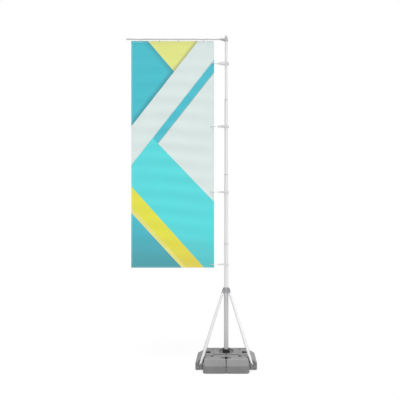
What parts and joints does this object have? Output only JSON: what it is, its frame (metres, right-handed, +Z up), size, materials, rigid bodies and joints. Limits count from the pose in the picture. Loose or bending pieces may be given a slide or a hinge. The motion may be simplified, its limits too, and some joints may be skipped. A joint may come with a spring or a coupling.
{
  "type": "telescopic banner mast",
  "caption": "Tall telescopic mast on a water-filled two-half base with fold-out struts, carrying a tall rectangular banner on a swivelling top arm.",
  "frame": {"origin": "on the mast axis, at the bottom of the mast socket's foot plate, where it meets the ground", "axes": "+Z up along the mast, -X along the top arm towards the banner, +Y to the back of the base"},
  "size_m": [1.96, 0.6, 5],
  "materials": {
    "grey_plastic": "moulded, lightly grained",
    "water": null,
    "black_plastic": "satin",
    "rubber": "matt",
    "silver_aluminium": "anodised satin",
    "grey_casting": "grey coated casting",
    "steel": "zinc plated",
    "banner_cloth": "printed knitted polyester",
    "webbing": "woven webbing"
  },
  "bodies": {
    "base": {"tank_left": "grey_plastic", "tank_right": "grey_plastic", "ballast_left": "water", "ballast_right": "water", "mast_socket": "black_plastic", "base_tube": "silver_aluminium", "foot_pins": "steel", "strut_collar": "grey_casting", "collar_screw": "steel", "pivot_bolts": "steel", "mast_section_1": "silver_aluminium", "guide_ring_1": "black_plastic"},
    "cap_left": {"filler_cap_left": "black_plastic", "cap_gasket_left": "rubber"},
    "cap_right": {"filler_cap_right": "black_plastic", "cap_gasket_right": "rubber"},
    "key_front": {"lock_key_front": "black_plastic"},
    "key_rear": {"lock_key_rear": "black_plastic"},
    "section_2": {"mast_section_2": "silver_aluminium", "guide_ring_2": "black_plastic", "expander_2": "black_plastic"},
    "section_3": {"mast_section_3": "silver_aluminium", "guide_ring_3": "black_plastic", "expander_3": "black_plastic"},
    "section_4": {"mast_section_4": "silver_aluminium", "expander_4": "black_plastic", "swivel_spigot": "silver_aluminium", "thrust_washer": "black_plastic", "spigot_nut": "steel"},
    "swivel": {"swivel_head": "grey_casting", "finial": "grey_casting", "arm_tube": "silver_aluminium", "arm_end_cap": "black_plastic", "arm_screw": "steel", "arm_clips": "steel", "top_eyelets": "steel", "banner_hem": "banner_cloth", "banner_panel": "banner_cloth"},
    "strut_front_left": {"strut_tube_front_left": "silver_aluminium", "strut_eye_front_left": "grey_casting", "strut_jaw_front_left": "silver_aluminium"},
    "strut_front_right": {"strut_tube_front_right": "silver_aluminium", "strut_eye_front_right": "grey_casting", "strut_jaw_front_right": "silver_aluminium"},
    "strut_rear_left": {"strut_tube_rear_left": "silver_aluminium", "strut_eye_rear_left": "grey_casting", "strut_jaw_rear_left": "silver_aluminium"},
    "strut_rear_right": {"strut_tube_rear_right": "silver_aluminium", "strut_eye_rear_right": "grey_casting", "strut_jaw_rear_right": "silver_aluminium"},
    "tie_1": {"tie_strap_1": "webbing", "tie_hook_1": "steel"},
    "tie_2": {"tie_strap_2": "webbing", "tie_hook_2": "steel"},
    "tie_3": {"tie_strap_3": "webbing", "tie_hook_3": "steel"},
    "tie_4": {"tie_strap_4": "webbing", "tie_hook_4": "steel"}
  },
  "joints": [
    {"name": "mast_telescope", "type": "slide", "parent": "base", "child": "section_2", "axis": [0, 0, 1], "range_m": [-0.98, 0], "deforming": ["banner_panel"]},
    {"name": "section_3_slide", "type": "slide", "parent": "section_2", "child": "section_3", "axis": [0, 0, 1], "range_m": [-1.0655, 0]},
    {"name": "section_4_slide", "type": "slide", "parent": "section_3", "child": "section_4", "axis": [0, 0, 1], "range_m": [-0.8505, 0]},
    {"name": "arm_swivel", "type": "hinge", "parent": "section_4", "child": "swivel", "pos_m": [0, 0, 4.8993], "axis": [0, 0, 1], "continuous": true},
    {"name": "tie_1_gather", "type": "slide", "parent": "swivel", "child": "tie_1", "axis": [0, 0, 1], "range_m": [0, 0.235]},
    {"name": "tie_2_gather", "type": "slide", "parent": "swivel", "child": "tie_2", "axis": [0, 0, 1], "range_m": [0, 0.97678]},
    {"name": "tie_3_gather", "type": "slide", "parent": "swivel", "child": "tie_3", "axis": [0, 0, 1], "range_m": [0, 1.74898]},
    {"name": "tie_4_gather", "type": "slide", "parent": "swivel", "child": "tie_4", "axis": [0, 0, 1], "range_m": [0, 2.60308]},
    {"name": "strut_front_left_fold", "type": "hinge", "parent": "base", "child": "strut_front_left", "pos_m": [-0.04756, -0.02557, 1.125], "axis": [-0.4735, 0.8808, 0], "range_deg": [0, 50]},
    {"name": "strut_front_right_fold", "type": "hinge", "parent": "base", "child": "strut_front_right", "pos_m": [0.04756, -0.02557, 1.125], "axis": [-0.4735, -0.8808, 0], "range_deg": [0, 50]},
    {"name": "strut_rear_left_fold", "type": "hinge", "parent": "base", "child": "strut_rear_left", "pos_m": [-0.04756, 0.02557, 1.125], "axis": [0.4735, 0.8808, 0], "range_deg": [0, 50]},
    {"name": "strut_rear_right_fold", "type": "hinge", "parent": "base", "child": "strut_rear_right", "pos_m": [0.04756, 0.02557, 1.125], "axis": [0.4735, -0.8808, 0], "range_deg": [0, 50]},
    {"name": "cap_left_lift", "type": "slide", "parent": "base", "child": "cap_left", "axis": [0, 0, 1], "range_m": [0, 0.08]},
    {"name": "cap_right_lift", "type": "slide", "parent": "base", "child": "cap_right", "axis": [0, 0, 1], "range_m": [0, 0.08]},
    {"name": "key_front_lift", "type": "slide", "parent": "base", "child": "key_front", "axis": [0, 0, 1], "range_m": [0, 0.08]},
    {"name": "key_rear_lift", "type": "slide", "parent": "base", "child": "key_rear", "axis": [0, 0, 1], "range_m": [0, 0.08]}
  ],
  "couplings": [
    {"joint": "section_3_slide", "follows": "mast_telescope", "ratio": 1.0867},
    {"joint": "section_4_slide", "follows": "mast_telescope", "ratio": 0.86735},
    {"joint": "tie_1_gather", "follows": "mast_telescope", "ratio": -0.23878},
    {"joint": "tie_2_gather", "follows": "mast_telescope", "ratio": -0.99569},
    {"joint": "tie_3_gather", "follows": "mast_telescope", "ratio": -1.7837},
    {"joint": "tie_4_gather", "follows": "mast_telescope", "ratio": -2.6552}
  ]
}
